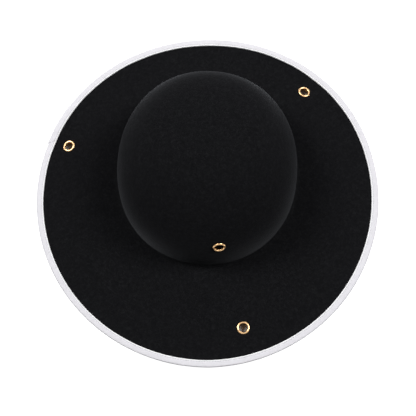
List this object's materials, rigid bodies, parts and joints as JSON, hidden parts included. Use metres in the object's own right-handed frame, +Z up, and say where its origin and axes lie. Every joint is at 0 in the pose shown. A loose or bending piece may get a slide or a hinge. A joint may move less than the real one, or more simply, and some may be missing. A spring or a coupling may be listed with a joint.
{
  "type": "uncocked tricorn hat",
  "caption": "Round-brimmed black felt hat with an open hollow crown, white tape binding and brass lacing eyelets, before its brim is laced up to a tricorn.",
  "frame": {"origin": "on the resting surface, under the middle of the round brim", "axes": "+Z up through the crown, +Y towards the back of the hat, +X to the right as seen from its front"},
  "size_m": [0.36, 0.36, 0.1087],
  "materials": {
    "black_felt": "matt pressed wool felt",
    "white_tape": "matt woven tape, stitched",
    "brass": "polished"
  },
  "bodies": {
    "root": {"felt_body": "black_felt", "brim_binding": "white_tape", "brim_eyelet_front": "brass", "brim_eyelet_right": "brass", "brim_eyelet_left": "brass", "crown_eyelet_front": "brass"}
  },
  "joints": []
}
